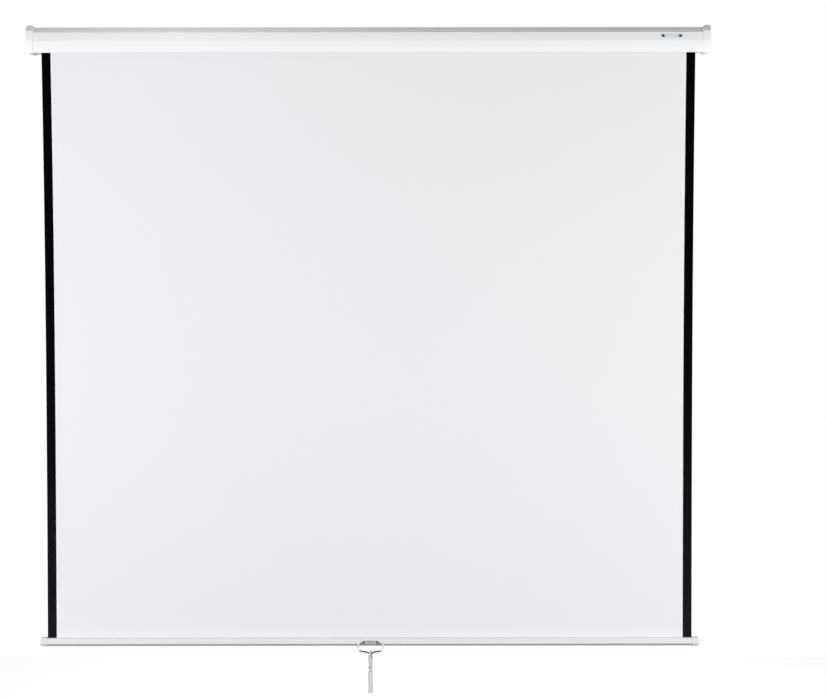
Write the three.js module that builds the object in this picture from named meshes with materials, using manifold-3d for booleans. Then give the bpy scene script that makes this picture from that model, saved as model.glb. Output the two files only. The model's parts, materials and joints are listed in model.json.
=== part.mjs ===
// A wall-hung pull-down projection screen with a sprung roller, drawn fully open. Sizes are in millimetres.
// X runs along the case, Z is up, and the wall is the plane Y = 0 behind the case, so the front faces -Y.
// The origin is the middle of the case's flat back.
import * as THREE from "three";
import { mergeVertices } from "three/addons/utils/BufferGeometryUtils.js";
import Module from "manifold-3d";

const wasm = await Module();
wasm.setup();

// Clearances and facets that every piece shares
const fit = 0.3;
const overrun = 20;
const roundSegments = 24;
const smallSegments = 12;
const cornerSegments = 3;

// Screen fabric
const fabricWidth = 1800;
const maskWidth = 25;
const fabricThickness = 0.5;
const fabricMargin = 21.5;
const fabricInset = 11;

// Case: a closed extrusion with a sloping top edge, a two-faced front and a mouth underneath
const caseSeenLength = fabricWidth + 2 * fabricMargin;
const caseHeight = 73;
const caseDepth = 57;
const caseTopDepth = 20;
const shoulderDepth = 48;
const shoulderDrop = 17;
const ridgeDrop = 41.2;
const lipDrop = 61;
const lipTuck = 3;
const caseWall = 1.5;
const caseRound = 1.6;
const mouthWidth = 13;
const lipHem = 2.4;
const portRadius = 3.4;
const portBore = 2;
const portSlit = 1.6;
const backPortDrop = 7;
const keyholeHead = 5;
const keyholeSlot = 2.6;
const keyholeRise = 10;
const keyholeDrop = 20;
const keyholeInset = 42;

// End caps: moulded cups that wrap the case's top, front and bottom
const capLength = 19.5;
const capOverlap = 10;
const capProud = 6;
const capFrontProud = 2;
const capFoot = 1.5;
const capWall = 3;
const capRound = 3.5;
const earReach = 3;
const earHeight = 15;
const earRound = 2.5;
const earSlope = 8;
const footSlope = 3;
const capTaper = 3;
const capHeelRound = 9;
const capBoss = 4.6;

// Cap screws
const screwHeadRadius = 3.6;
const screwHeadHeight = 2.4;
const screwRadius = 1.7;
const screwLength = 16;
const screwSink = 1.2;

// Bearing plates behind the caps
const plateThickness = 2;
const plateMargin = 1.2;
const tangWidth = 8;
const tangThickness = 3.2;

// Roller
const tubeRadius = 15.5;
const tubeWall = 1;
const tubeEndGap = 16;
const windingTurns = 1.75;
const windingPitch = 0.8;
const windingSteps = 28;
const flangeThickness = 2.5;
const plugLength = 18;
const spindleRadius = 4;
const gudgeonReach = 1.5;
const bushRadius = 6.5;
const bushFlangeRadius = 9;
const bushFlange = 2;

// Ratchet and pawl at the sprung end
const ratchetTop = 7.5;
const ratchetRoot = 5;
const ratchetThickness = 4;
const ratchetTeeth = 2;
const toothSteps = 12;
const ratchetFaceAngle = -50;
const layerGap = 0.8;
const pawlPivotOut = 12;
const pawlPivotUp = 5;
const pawlReach = 11;
const pawlHub = 3.2;
const pawlNose = 1.2;
const pawlLean = 5;
const pawlPin = 1.5;
const pawlPinHead = 2.4;
const pawlPinHeadThickness = 1;

// Roller spring on its arbor
const springWire = 1.6;
const springRadius = 8;
const springTurns = 34;
const springPitch = 2.8;
const stepsPerTurn = 8;
const wireSides = 5;
const arborCollar = 9;
const springSeat = 8;

// Bottom bar
const barTop = -1660;
const barHeight = 23;
const barDepth = 22;
const barFaceHeight = 16.2;
const barFootWidth = 6;
const barLength = fabricWidth + 2 * fit;
const barWall = 1.6;
const barTopRound = 3;
const barEdgeRound = 0.8;
const barFootRound = 1.2;
const hemRodRadius = 3;
const hemBore = hemRodRadius + fit;
const hemTubeWall = 1.4;
const hemSlot = 2.6;
const barCapLength = 18.6;
const barCapProud = 0.8;
const barCapRound = 6;
const barPlugLength = 14;

// Handle on the bar, a little right of its middle: a pressed saddle whose two knuckles hold a wire bail
const handleShift = 2.5;
const saddleLength = 61.5;
const saddleTopLength = 35;
const saddleRise = 4.5;
const saddleHeight = 11.5;
const saddleSheet = 1.2;
const saddleShoulder = 4;
const saddleRound = 4;
const panelInset = 3;
const panelGap = 1;
const panelRise = 0.8;
const panelRound = 1.5;
const bailWire = 4.5;
const bailEnd = 19;
const bailHalfWidth = 33.7;
const bailArmDrop = 12.5;
const bailKneeWidth = 30.6;
const bailKneeDrop = 19;
const bailHipWidth = 24;
const bailHipDrop = 21.8;
const bailThighWidth = 12.5;
const bailThighDrop = 23.3;
const bailCalfWidth = 7;
const bailCalfDrop = 25.7;
const bailSaddleWidth = 3;
const bailDip = 27.5;
const bailSegments = 72;
const rivetHeadRadius = 2.1;
const rivetHeadHeight = 1.3;
const rivetShank = 1.2;
const rivetLength = 4;
const rivetSpacing = 24;

// Blank plate on the case
const badgeLength = 62;
const badgeHeight = 12;
const badgeThickness = 0.8;
const badgeFromEnd = 88;
const badgeUpShare = 0.47;
const badgeRivetSpacing = 47.5;
const badgeRivetRadius = 4.4;
const badgeRivetHeight = 1.2;

// Pull cord: one length over the bail, knotted below it
const cordDiameter = 6;
const cordSides = 8;
const cordSteps = 44;

// Places worked out from the sizes above
const fabricPlane = fabricInset - caseDepth;
const caseTop = caseHeight / 2;
const caseBottom = -caseTop;
const caseEnd = caseSeenLength / 2 + capOverlap;
const capRim = caseSeenLength / 2;
const capFace = capRim + capLength;
const mouthFront = fabricPlane - mouthWidth / 2;
const mouthBack = fabricPlane + mouthWidth / 2;
const rollRadius = tubeRadius + fit + fabricThickness / 2 + windingTurns * windingPitch;
const rollerY = fabricPlane + rollRadius;
const rollerZ = 0;
const tubeInner = tubeRadius - tubeWall;
const tubeEnd = capRim - tubeEndGap;
const plateFace = caseEnd + fit;
const barBottom = barTop - barHeight;
const barFront = fabricPlane - barDepth / 2;
const barBack = fabricPlane + barDepth / 2;
const hemCentre = barTop - barWall / 2 - hemTubeWall - hemBore;
const saddleFoot = barBottom + saddleRise;
const saddleTop = saddleFoot + saddleHeight;
const bailY = barFront - fit - bailWire / 2;
const bailZ = saddleFoot + saddleSheet + fit + bailWire / 2;

const paint = {
  white: material(0xeef2f5, 0.42, 0.05),
  moulded: material(0xf1f2f0, 0.48, 0),
  cloth: material(0xf0f1f4, 0.85, 0),
  mask: material(0x0c0c10, 0.8, 0),
  zinc: material(0xb9bec2, 0.35, 0.9),
  steel: material(0x8e949a, 0.32, 0.95),
  dark: material(0x5d6264, 0.38, 0.85),
  chrome: material(0xe4e7ea, 0.14, 1),
  black: material(0x1b1d20, 0.5, 0.1),
  nylon: material(0xe6e4da, 0.55, 0),
  cord: material(0xe2e3e4, 0.8, 0),
};

function material(color, roughness, metalness) {
  return new THREE.MeshStandardMaterial({ color, roughness, metalness });
}

// Solids: closed geometry in, closed geometry out

function toSolid(geometry) {
  const bare = geometry.clone();
  bare.deleteAttribute("normal");
  bare.deleteAttribute("uv");
  const merged = mergeVertices(bare);
  const vertProperties = merged.attributes.position.array;
  const triVerts = new Uint32Array(merged.index.array);
  return new wasm.Manifold(new wasm.Mesh({ numProp: 3, vertProperties, triVerts }));
}

function toGeometry(solid) {
  const { vertProperties, triVerts } = solid.getMesh();
  const geometry = new THREE.BufferGeometry();
  geometry.setAttribute("position", new THREE.BufferAttribute(vertProperties, 3));
  geometry.setIndex(new THREE.BufferAttribute(triVerts, 1));
  const faceted = geometry.toNonIndexed();
  faceted.computeVertexNormals();
  return faceted;
}

function join(first, ...others) {
  return toGeometry(others.reduce((sum, next) => sum.add(toSolid(next)), toSolid(first)));
}

function cut(first, ...tools) {
  return toGeometry(tools.reduce((rest, tool) => rest.subtract(toSolid(tool)), toSolid(first)));
}

function common(first, second) {
  return toGeometry(toSolid(first).intersect(toSolid(second)));
}

function mirrored(geometry) {
  const flipped = geometry.index ? geometry.toNonIndexed() : geometry.clone();
  flipped.deleteAttribute("uv");
  const places = flipped.attributes.position;
  for (let corner = 0; corner < places.count; corner += 3) {
    const [x, y, z] = [places.getX(corner), places.getY(corner), places.getZ(corner)];
    places.setXYZ(corner, places.getX(corner + 1), places.getY(corner + 1), places.getZ(corner + 1));
    places.setXYZ(corner + 1, x, y, z);
  }
  flipped.scale(-1, 1, 1);
  flipped.computeVertexNormals();
  return flipped;
}

// Outlines: counterclockwise lists of [across, up, corner radius]

function outline(corners) {
  const shape = new THREE.Shape();
  corners.forEach(([u, v, radius = 0], i) => {
    const here = new THREE.Vector2(u, v);
    const before = cornerAt(corners, i - 1).sub(here).normalize();
    const after = cornerAt(corners, i + 1).sub(here).normalize();
    const half = Math.acos(before.dot(after)) / 2;
    const reach = radius / Math.tan(half);
    const start = here.clone().addScaledVector(before, reach);
    const end = here.clone().addScaledVector(after, reach);
    if (i === 0) shape.moveTo(start.x, start.y);
    else shape.lineTo(start.x, start.y);
    if (radius > 0) shape.quadraticCurveTo(u, v, end.x, end.y);
  });
  shape.closePath();
  return shape;
}

function cornerAt(corners, i) {
  const [u, v] = corners[(i + corners.length) % corners.length];
  return new THREE.Vector2(u, v);
}

function inset(corners, distance) {
  return corners.map(([u, v, radius = 0], i) => {
    const here = new THREE.Vector2(u, v);
    const into = here.clone().sub(cornerAt(corners, i - 1)).normalize();
    const away = cornerAt(corners, i + 1).sub(here).normalize();
    const inward = new THREE.Vector2(-into.y - away.y, into.x + away.x);
    const moved = here.addScaledVector(inward, distance / (1 + into.dot(away)));
    return [moved.x, moved.y, Math.max(radius - distance, 0)];
  });
}

function rectangle(left, bottom, right, top, ...radii) {
  const [low = 0, high = low] = radii;
  return [
    [left, bottom, low],
    [right, bottom, low],
    [right, top, high],
    [left, top, high],
  ];
}

function disc(u, v, radius) {
  return new THREE.Shape().absarc(u, v, radius, 0, 2 * Math.PI).closePath();
}

// Extrusions of an outline along each axis

const axisX = new THREE.Vector3(1, 0, 0);
const axisY = new THREE.Vector3(0, 1, 0);
const axisZ = new THREE.Vector3(0, 0, 1);

function extruded(shape, depth, curveSegments) {
  return new THREE.ExtrudeGeometry(shape, { depth, bevelEnabled: false, curveSegments });
}

// A shape whose across is Y and whose up is Z, from one X to a larger one
function alongX(shape, from, to, segments = cornerSegments) {
  const turn = new THREE.Matrix4().makeBasis(axisY, axisZ, axisX);
  return extruded(shape, to - from, segments).applyMatrix4(turn).translate(from, 0, 0);
}

// A shape whose across is X and whose up is Z, from one Y to a smaller one
function alongY(shape, from, to, segments = cornerSegments) {
  const turn = new THREE.Matrix4().makeBasis(axisX, axisZ, axisY.clone().negate());
  return extruded(shape, from - to, segments).applyMatrix4(turn).translate(0, from, 0);
}

function rodAlongX(y, z, radius, from, to, segments = roundSegments) {
  return alongX(disc(y, z, radius), from, to, segments / 2);
}

// A turned piece: radii and places along X of its profile, about an axis through (y, z)
function turned(profile, y, z, segments = roundSegments) {
  const points = profile.map(([x, radius]) => new THREE.Vector2(radius, x));
  const lathe = new THREE.LatheGeometry(points, segments);
  const turn = new THREE.Matrix4().makeBasis(axisY, axisX, axisZ.clone().negate());
  return lathe.applyMatrix4(turn).translate(0, y, z);
}

// A tube along a curve
function tubeAlong(curve, radius, sides, steps) {
  const section = new THREE.Shape();
  for (let side = 0; side < sides; side += 1) {
    const angle = (2 * Math.PI * side) / sides;
    const [u, v] = [radius * Math.cos(angle), radius * Math.sin(angle)];
    if (side === 0) section.moveTo(u, v);
    else section.lineTo(u, v);
  }
  section.closePath();
  return new THREE.ExtrudeGeometry(section, { steps, extrudePath: curve, bevelEnabled: false });
}

const screen = new THREE.Group();

function add(name, geometry, look, parent = screen) {
  const mesh = new THREE.Mesh(geometry, look);
  mesh.name = name;
  parent.add(mesh);
  return mesh;
}

function addPair(name, geometry, look) {
  add(`${name}_right`, geometry, look);
  add(`${name}_left`, mirrored(geometry), look);
}

// Case

const shoulder = [-shoulderDepth, caseTop - shoulderDrop];
const ridge = [-caseDepth, caseTop - ridgeDrop];
const caseOutline = [
  [0, caseBottom, caseRound],
  [0, caseTop, caseRound],
  [-caseTopDepth, caseTop, caseRound],
  [...shoulder, caseRound],
  [...ridge, caseRound],
  [-caseDepth, caseTop - lipDrop, caseRound],
  [lipTuck - caseDepth, caseBottom, caseRound],
];

// The screw ports: two on the back wall and one under the sloping top edge
function portPlaces() {
  const reach = portRadius + caseWall / 2;
  const slope = new THREE.Vector2(shoulder[0] + caseTopDepth, shoulder[1] - caseTop);
  const inward = new THREE.Vector2(-slope.y, slope.x).normalize().multiplyScalar(reach);
  const middle = new THREE.Vector2(-caseTopDepth, caseTop).addScaledVector(slope, 1 / 2).add(inward);
  return [
    [-reach, caseTop - backPortDrop - portRadius],
    [-reach, caseBottom + backPortDrop + portRadius],
    [middle.x, middle.y],
  ];
}

function keyhole(x) {
  const z = caseTop - keyholeDrop;
  const head = alongY(disc(x, z - keyholeRise, keyholeHead), overrun, -caseWall - fit, smallSegments / 2);
  const slot = outline(rectangle(x - keyholeSlot, z - keyholeRise, x + keyholeSlot, z));
  const crown = alongY(disc(x, z, keyholeSlot), overrun, -caseWall - fit, smallSegments / 2);
  return join(head, alongY(slot, overrun, -caseWall - fit), crown);
}

function caseShell() {
  const skin = alongX(outline(caseOutline), -caseEnd, caseEnd);
  const hollow = alongX(outline(inset(caseOutline, caseWall)), -caseEnd - overrun, caseEnd + overrun);
  const mouth = outline(rectangle(mouthFront, caseBottom - overrun, mouthBack, caseBottom + caseWall + fit));
  const open = cut(skin, hollow, alongX(mouth, -caseEnd - overrun, caseEnd + overrun));
  const hems = [mouthFront - caseWall, mouthBack].map((y) => {
    const fold = rectangle(y, caseBottom + caseWall / 2, y + caseWall, caseBottom + caseWall + lipHem);
    return alongX(outline(fold), -caseEnd, caseEnd);
  });
  const ports = portPlaces();
  const walls = ports.map(([y, z]) => rodAlongX(y, z, portRadius, -caseEnd, caseEnd, smallSegments));
  const bores = ports.map(([y, z]) =>
    rodAlongX(y, z, portBore, -caseEnd - overrun, caseEnd + overrun, smallSegments),
  );
  const slits = ports.map(([y, z]) => {
    const [left, right] = [y - portSlit / 2, y + portSlit / 2];
    const below = z > 0 ? z - portRadius - fit : z;
    const slit = outline(rectangle(left, below, right, below + portRadius + fit));
    return alongX(slit, -caseEnd - overrun, caseEnd + overrun);
  });
  const keyholes = [-1, 1].map((side) => keyhole(side * (capRim - keyholeInset)));
  return cut(join(open, ...hems, ...walls), ...bores, ...slits, ...keyholes);
}

// End caps, drawn for the right-hand end

function capFrontOutline() {
  const [low, high] = [caseBottom - capFoot, caseTop + capProud];
  const waist = caseTop - ridgeDrop;
  return [
    [capRim - footSlope, caseBottom + fit],
    [capRim, low],
    [capFace - capTaper, low, capHeelRound],
    [capFace, waist],
    [capFace, high - earHeight - earReach / 2],
    [capFace + earReach, high - earHeight],
    [capFace + earReach, high, earRound],
    [capRim + earSlope, high, fit],
    [capRim, high - earSlope, fit],
    [capRim, caseBottom + capFoot],
  ];
}

function endCap() {
  const setBack = capProud - capFrontProud;
  const proud = inset(caseOutline, -capProud).map(([y, z]) => [y + setBack, z, capRound]);
  const block = alongX(outline(proud), capRim - footSlope - overrun, capFace + overrun);
  const front = alongY(outline(capFrontOutline()), 0, -caseDepth - overrun);
  const sleeve = alongX(outline(inset(caseOutline, -fit)), capRim - footSlope - overrun, caseEnd + fit);
  const room = inset(caseOutline, fit);
  const cup = alongX(outline(room), caseEnd, capFace - capWall);
  const backGap = rectangle(-capWall, caseBottom + fit, overrun, caseTop - fit);
  const backRoom = alongX(outline(backGap), caseEnd, capFace - capWall);
  const bosses = portPlaces().map(([y, z]) => {
    const start = plateFace + plateThickness + fit;
    return rodAlongX(y, z, capBoss / 2 + screwRadius, start, capFace - capWall / 2, smallSegments);
  });
  const bores = portPlaces().flatMap(([y, z]) => [
    rodAlongX(y, z, screwRadius + fit, caseEnd, capFace + overrun, smallSegments),
    rodAlongX(y, z, screwHeadRadius + fit, capFace - screwSink, capFace + overrun, smallSegments),
  ]);
  return cut(join(cut(common(block, front), sleeve, cup, backRoom), ...bosses), ...bores);
}

function capScrew(y, z) {
  const seat = capFace - screwSink + fit;
  const profile = [
    [seat - screwLength, 0],
    [seat - screwLength, screwRadius],
    [seat, screwRadius],
    [seat, screwHeadRadius],
    [seat + screwHeadHeight / 2, screwHeadRadius],
    [seat + screwHeadHeight, screwHeadRadius / 2],
    [seat + screwHeadHeight, 0],
  ];
  return turned(profile, y, z, smallSegments);
}

function bearingPlate(hole) {
  const sheet = alongX(outline(inset(caseOutline, plateMargin)), plateFace, plateFace + plateThickness);
  const holes = portPlaces().map(([y, z]) =>
    rodAlongX(y, z, screwRadius + fit, plateFace - overrun, plateFace + overrun, smallSegments),
  );
  return cut(sheet, ...holes, hole);
}

// Roller and what turns with it

function windingAt(share) {
  const angle = Math.PI - 2 * Math.PI * windingTurns * share;
  const radius = rollRadius - windingTurns * windingPitch * share;
  return [angle, radius];
}

function windingEdge(side) {
  return Array.from({ length: windingSteps + 1 }, (_, step) => {
    const [angle, radius] = windingAt(step / windingSteps);
    const edge = radius + (side * fabricThickness) / 2;
    return [rollerY + edge * Math.cos(angle), rollerZ + edge * Math.sin(angle)];
  });
}

function woundFabric() {
  const loop = [...windingEdge(-1), ...windingEdge(1).reverse()];
  return alongX(outline(loop), -fabricWidth / 2, fabricWidth / 2);
}

function rollerTube() {
  const tube = rodAlongX(rollerY, rollerZ, tubeRadius, -tubeEnd, tubeEnd);
  const bore = rodAlongX(rollerY, rollerZ, tubeInner, -tubeEnd - overrun, tubeEnd + overrun);
  return cut(tube, bore);
}

// A plug with a flange that closes the tube's end, drawn for the right-hand end
function endPlug() {
  const plug = tubeInner - fit;
  const face = tubeEnd + fit + flangeThickness;
  const bore = spindleRadius + fit;
  return turned(
    [
      [tubeEnd - plugLength, bore],
      [tubeEnd - plugLength, plug - tubeWall],
      [tubeEnd - plugLength + tubeWall, plug],
      [tubeEnd + fit, plug],
      [tubeEnd + fit, tubeRadius],
      [face, tubeRadius],
      [face, bore],
      [tubeEnd - plugLength, bore],
    ],
    rollerY,
    rollerZ,
  );
}

function gudgeonPin() {
  const [start, end] = [tubeEnd - plugLength, plateFace + plateThickness + gudgeonReach];
  return turned(
    [
      [start, 0],
      [start, spindleRadius],
      [end - gudgeonReach, spindleRadius],
      [end, spindleRadius - gudgeonReach],
      [end, 0],
    ],
    rollerY,
    rollerZ,
  );
}

function bush() {
  const bore = spindleRadius + fit;
  const face = plateFace - fit;
  return turned(
    [
      [face - bushFlange, bore],
      [face - bushFlange, bushFlangeRadius],
      [face, bushFlangeRadius],
      [face, bushRadius],
      [plateFace + plateThickness, bushRadius],
      [plateFace + plateThickness, bore],
      [face - bushFlange, bore],
    ],
    rollerY,
    rollerZ,
  );
}

// Ratchet spindle: a flat tang held in the left plate, a snail of teeth and the shaft into the ferrule

const ratchetFace = tubeEnd + fit + flangeThickness + layerGap;

function ratchetOutline() {
  const points = [];
  for (let tooth = 0; tooth < ratchetTeeth; tooth += 1) {
    for (let step = 0; step <= toothSteps; step += 1) {
      const share = step / toothSteps;
      const turn = ((tooth + share) * 2 * Math.PI) / ratchetTeeth;
      const angle = THREE.MathUtils.degToRad(ratchetFaceAngle) + turn;
      const radius = THREE.MathUtils.lerp(ratchetRoot, ratchetTop, share);
      points.push([rollerY + radius * Math.cos(angle), rollerZ + radius * Math.sin(angle)]);
    }
  }
  return outline(points);
}

const spindleInner = tubeEnd - plugLength - fit;

function ratchetSpindle() {
  const wheel = alongX(ratchetOutline(), ratchetFace, ratchetFace + ratchetThickness);
  const shaft = rodAlongX(rollerY, rollerZ, spindleRadius, spindleInner, caseEnd - fit);
  const [halfWidth, halfThick] = [tangWidth / 2 - fit, tangThickness / 2 - fit];
  const blade = rectangle(rollerY - halfThick, rollerZ - halfWidth, rollerY + halfThick, rollerZ + halfWidth);
  const tang = alongX(outline(blade), ratchetFace, plateFace + plateThickness + gudgeonReach);
  return mirrored(join(wheel, shaft, tang));
}

function tangHole() {
  const [halfWidth, halfThick] = [tangWidth / 2, tangThickness / 2];
  const slot = rectangle(rollerY - halfThick, rollerZ - halfWidth, rollerY + halfThick, rollerZ + halfWidth);
  return alongX(outline(slot), plateFace - overrun, plateFace + overrun);
}

function pawl() {
  const lean = THREE.MathUtils.degToRad(pawlLean);
  const [y, z] = [rollerY + pawlPivotOut, rollerZ + pawlPivotUp];
  const along = (across, down) => [
    y + across * Math.cos(lean) - down * Math.sin(lean),
    z - across * Math.sin(lean) - down * Math.cos(lean),
  ];
  const arm = [
    along(-pawlNose, pawlReach),
    along(pawlNose, pawlReach),
    along(pawlHub, pawlHub),
    along(pawlHub, 0),
    along(-pawlHub, 0),
  ];
  const [from, to] = [ratchetFace + fit, ratchetFace + ratchetThickness - fit];
  const hub = rodAlongX(y, z, pawlHub, from, to, smallSegments);
  const bore = rodAlongX(y, z, pawlPin + fit, from - overrun, to + overrun, smallSegments);
  return mirrored(cut(join(hub, alongX(outline(arm), from, to)), bore));
}

function pawlPost() {
  const base = tubeEnd + flangeThickness + fit + fit;
  const head = ratchetFace + ratchetThickness;
  const profile = [
    [base, 0],
    [base, pawlPin],
    [head, pawlPin],
    [head, pawlPinHead],
    [head + pawlPinHeadThickness, pawlPinHead],
    [head + pawlPinHeadThickness, 0],
  ];
  return mirrored(turned(profile, rollerY + pawlPivotOut, rollerZ + pawlPivotUp, smallSegments));
}

// Spring inside the tube, between the arbor's collar and a plug that turns with the tube

const springStart = spindleInner - arborCollar;
const springEnd = springStart - springTurns * springPitch;
const collarRadius = springRadius * Math.cos(Math.PI / stepsPerTurn) - springWire / 2 - fit;

class Coil extends THREE.Curve {
  getPoint(t, target = new THREE.Vector3()) {
    const angle = 2 * Math.PI * springTurns * t;
    const x = -springStart - springWire + (springStart - springEnd + 2 * springWire) * t;
    return target.set(x, rollerY + springRadius * Math.cos(angle), rollerZ + springRadius * Math.sin(angle));
  }
}

// The coil's rings are placed by formula, each square to the wire
function springCoil() {
  const coil = new Coil();
  const steps = springTurns * stepsPerTurn;
  const places = [];
  const faces = [];
  for (let step = 0; step <= steps; step += 1) {
    const t = step / steps;
    const centre = coil.getPoint(t);
    const angle = 2 * Math.PI * springTurns * t;
    const outward = new THREE.Vector3(0, Math.cos(angle), Math.sin(angle));
    const along = coil.getTangent(t);
    const beside = new THREE.Vector3().crossVectors(along, outward).normalize();
    for (let side = 0; side < wireSides; side += 1) {
      const turn = (2 * Math.PI * side) / wireSides;
      const spot = centre
        .clone()
        .addScaledVector(outward, (springWire / 2) * Math.cos(turn))
        .addScaledVector(beside, (springWire / 2) * Math.sin(turn));
      places.push(spot.x, spot.y, spot.z);
    }
  }
  for (let step = 0; step < steps; step += 1) {
    for (let side = 0; side < wireSides; side += 1) {
      const next = (side + 1) % wireSides;
      const [a, b] = [step * wireSides + side, step * wireSides + next];
      faces.push(a, b, b + wireSides, a, b + wireSides, a + wireSides);
    }
  }
  const last = steps * wireSides;
  for (let side = 1; side < wireSides - 1; side += 1) {
    faces.push(0, side + 1, side);
    faces.push(last, last + side, last + side + 1);
  }
  const geometry = new THREE.BufferGeometry();
  geometry.setAttribute("position", new THREE.Float32BufferAttribute(places, 3));
  geometry.setIndex(faces);
  geometry.computeVertexNormals();
  return geometry;
}

function arborRod() {
  const end = springEnd - plugLength;
  const profile = [
    [end, 0],
    [end, spindleRadius],
    [springStart - springSeat, spindleRadius],
    [springStart - springSeat, collarRadius],
    [spindleInner - fit, collarRadius],
    [spindleInner - fit, 0],
  ];
  return mirrored(turned(profile, rollerY, rollerZ));
}

function springPlug() {
  const bore = spindleRadius + fit;
  const plug = tubeInner - fit;
  const face = springEnd - springWire - fit;
  return mirrored(
    turned(
      [
        [face - plugLength, bore],
        [face - plugLength, plug],
        [face - springWire, plug],
        [face - springWire, collarRadius],
        [face + springSeat, collarRadius],
        [face + springSeat, bore],
        [face - plugLength, bore],
      ],
      rollerY,
      rollerZ,
    ),
  );
}

// Hanging sheet and its black side bands

function hangingCloth(from, to) {
  const [low, high] = [hemCentre + hemRodRadius + fit, rollerZ - fit];
  const [front, back] = [fabricPlane - fabricThickness / 2, fabricPlane + fabricThickness / 2];
  return alongX(outline(rectangle(front, low, back, high)), from, to);
}

// Bottom bar

const barOutline = [
  [barFront, barTop - barFaceHeight, barEdgeRound],
  [fabricPlane - barFootWidth / 2, barBottom, barFootRound],
  [fabricPlane + barFootWidth / 2, barBottom, barFootRound],
  [barBack, barTop - barFaceHeight, barEdgeRound],
  [barBack, barTop, barTopRound],
  [barFront, barTop, barTopRound],
];

function barTube() {
  const skin = alongX(outline(barOutline), -barLength / 2, barLength / 2);
  const ends = [-barLength / 2 - overrun, barLength / 2 + overrun];
  const hollow = alongX(outline(inset(barOutline, barWall)), ...ends);
  const hemTube = rodAlongX(fabricPlane, hemCentre, hemBore + hemTubeWall, -barLength / 2, barLength / 2);
  const bore = rodAlongX(fabricPlane, hemCentre, hemBore, ...ends);
  const [left, right] = [fabricPlane - hemSlot / 2, fabricPlane + hemSlot / 2];
  const slot = alongX(outline(rectangle(left, hemCentre, right, barTop + overrun)), ...ends);
  const rivetHoles = rivetBores(barFront + barWall + fit, barFront - overrun);
  rivetHoles.forEach((hole) => hole.translate(handleShift, 0, 0));
  return cut(join(cut(skin, hollow), hemTube), bore, slot, ...rivetHoles);
}

function barCap() {
  const start = barLength / 2 + fit;
  const end = start + barCapLength;
  const proud = inset(barOutline, -barCapProud);
  const block = alongX(outline(proud), start, end);
  const [low, high] = [barBottom - barCapProud, barTop + barCapProud];
  const front = [
    [start - overrun, low],
    [end, low, barCapRound],
    [end, high, barCapRound],
    [start - overrun, high],
  ];
  const head = common(block, alongY(outline(front), barBack + overrun, barFront - overrun));
  const plug = alongX(outline(inset(barOutline, barWall + fit)), start - barPlugLength, start + fit);
  const hemRoom = rodAlongX(fabricPlane, hemCentre, hemBore + hemTubeWall + fit, start - overrun, start);
  const overHem = rectangle(barFront, hemCentre, barBack, barTop);
  const slotRoom = alongX(outline(overHem), start - overrun, start);
  return join(head, cut(plug, hemRoom, slotRoom));
}

// Saddle: a plate with a knuckle at each end and a raised panel between them, narrowed towards its top

const knuckleStart = bailEnd - fit - saddleSheet;
const saddleBack = barFront - fit;
const panelFace = saddleBack - saddleSheet - panelRise;
const saddleRivetZ = (saddleFoot + saddleTop) / 2;

function rivetPlaces() {
  return [-rivetSpacing / 2, rivetSpacing / 2];
}

function rivetBores(from, to) {
  return rivetPlaces().map((x) =>
    alongY(disc(x, saddleRivetZ, rivetShank + fit), from, to, smallSegments / 2),
  );
}

function saddle() {
  const outer = bailWire / 2 + fit + saddleSheet;
  const inner = bailWire / 2 + fit;
  const end = saddleLength / 2;
  const plate = rectangle(saddleBack - saddleSheet, saddleFoot, saddleBack, saddleTop);
  const knuckle = rodAlongX(bailY, bailZ, outer, knuckleStart, end);
  const panelHalf = knuckleStart - panelGap;
  const [panelLow, panelHigh] = [saddleFoot + panelInset, saddleTop - panelInset];
  const raised = rectangle(-panelHalf, panelLow, panelHalf, panelHigh, panelRound);
  const panel = alongY(outline(raised), saddleBack, panelFace);
  const front = [
    [-end, saddleFoot - overrun],
    [end, saddleFoot - overrun],
    [end, saddleFoot + saddleShoulder],
    [saddleTopLength / 2, saddleTop, saddleRound],
    [-saddleTopLength / 2, saddleTop, saddleRound],
    [-end, saddleFoot + saddleShoulder],
  ];
  const pressed = common(
    join(alongX(outline(plate), -end, end), knuckle, mirrored(knuckle), panel),
    alongY(outline(front), saddleBack + overrun, bailY - overrun),
  );
  const channel = rodAlongX(bailY, bailZ, inner, bailEnd - fit, end + overrun);
  const throatOutline = rectangle(bailY, bailZ - inner, saddleBack + fit, bailZ + inner);
  const throat = alongX(outline(throatOutline), bailEnd - fit, end + overrun);
  const [low, high] = [saddleFoot - overrun, saddleTop + overrun];
  const behindOutline = rectangle(saddleBack, low, saddleBack + overrun, high);
  const behind = alongX(outline(behindOutline), -end - overrun, end + overrun);
  const holes = rivetBores(saddleBack + overrun, bailY - overrun);
  return cut(pressed, channel, mirrored(channel), throat, mirrored(throat), behind, ...holes);
}

function saddleRivet(x) {
  const back = panelFace - fit;
  const profile = [
    [back + rivetLength, 0],
    [back + rivetLength, rivetShank],
    [back, rivetShank],
    [back, rivetHeadRadius],
    [back - rivetHeadHeight / 2, rivetHeadRadius],
    [back - rivetHeadHeight, rivetHeadRadius / 2],
    [back - rivetHeadHeight, 0],
  ];
  const points = profile.reverse().map(([y, radius]) => new THREE.Vector2(radius, y));
  return new THREE.LatheGeometry(points, smallSegments).translate(x, 0, saddleRivetZ);
}

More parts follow.
